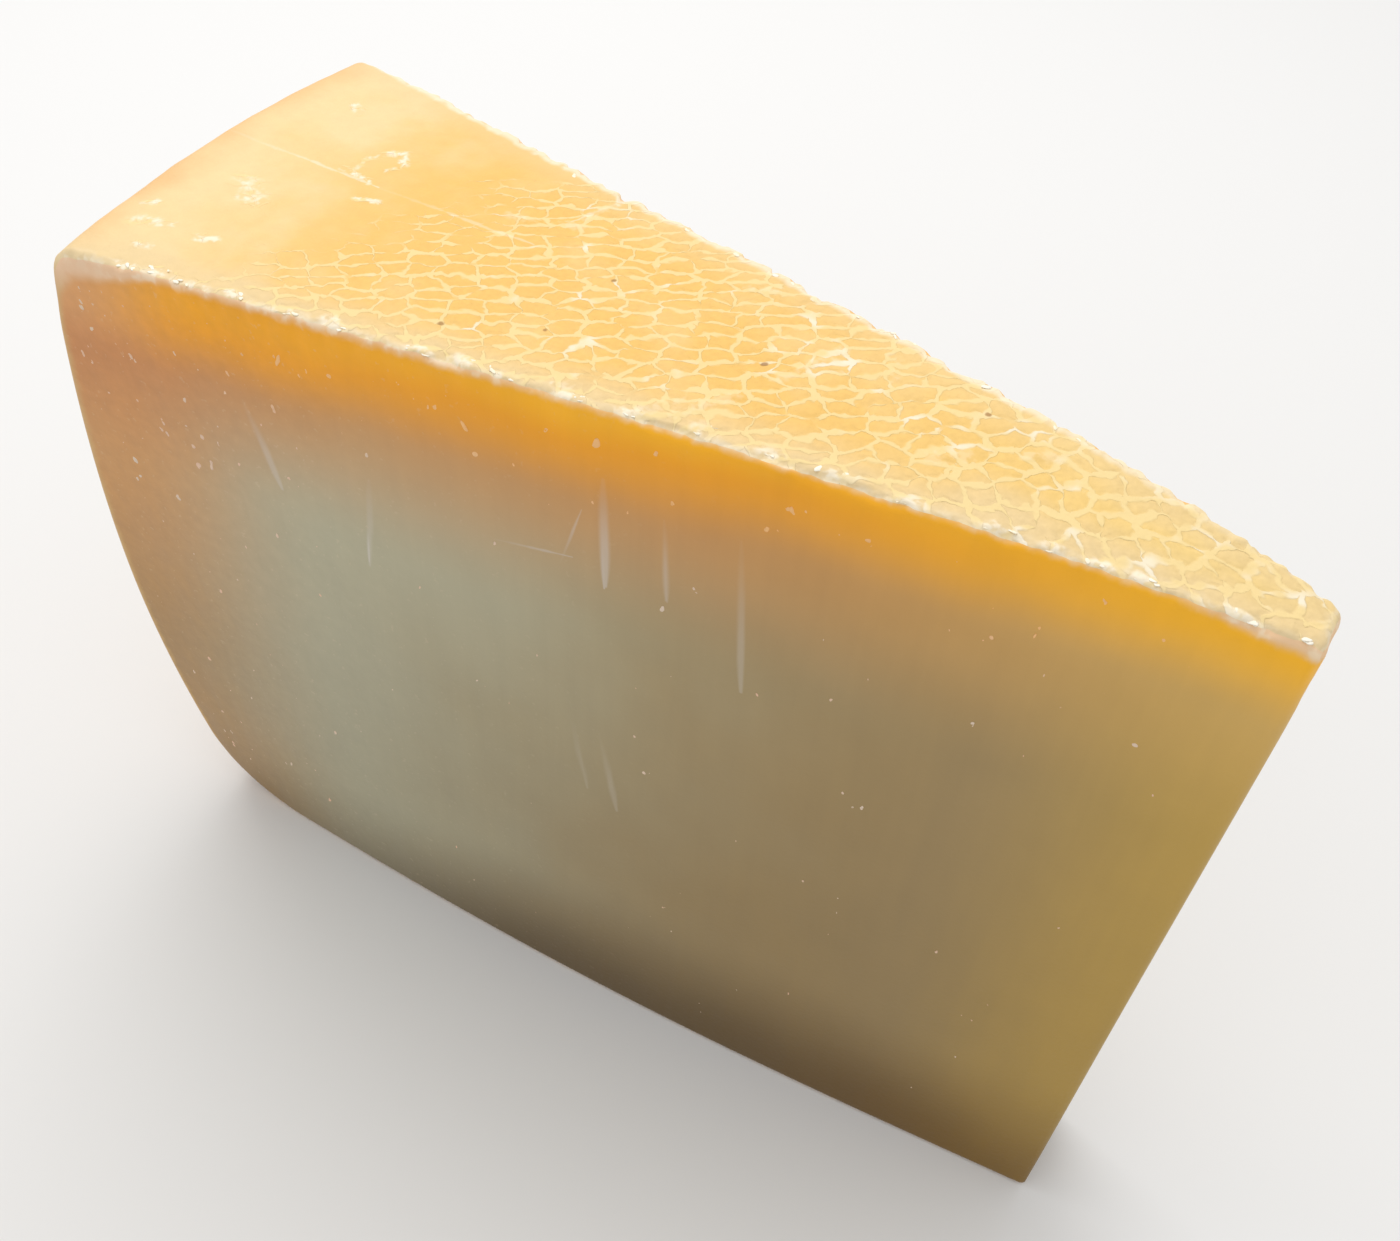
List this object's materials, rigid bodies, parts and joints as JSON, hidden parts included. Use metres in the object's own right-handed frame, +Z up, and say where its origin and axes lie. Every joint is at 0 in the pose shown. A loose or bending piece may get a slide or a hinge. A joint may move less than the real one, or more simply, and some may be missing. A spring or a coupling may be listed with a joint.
{
  "type": "wedge of alpine cheese",
  "caption": "Wedge of ripe alpine cheese with a netted rind on top, a bulging rind heel, two large smooth cut faces and a cut-off thin end.",
  "frame": {"origin": "centre of the bounding box's underside, level with the lower rind that the wedge stands on", "axes": "+X along the wedge from the bulging rind heel to the cut-off thin end; +Y across it, from the near large cut to the far one; +Z up, from the lower rind to the netted upper rind"},
  "size_m": [0.139, 0.0536, 0.1027],
  "materials": {
    "cheese": "ripe yellow paste, slightly glossy on the cuts, with a drier amber rind under a net of pale ridges"
  },
  "bodies": {
    "root": {"cheese_wedge": "cheese"}
  },
  "joints": []
}
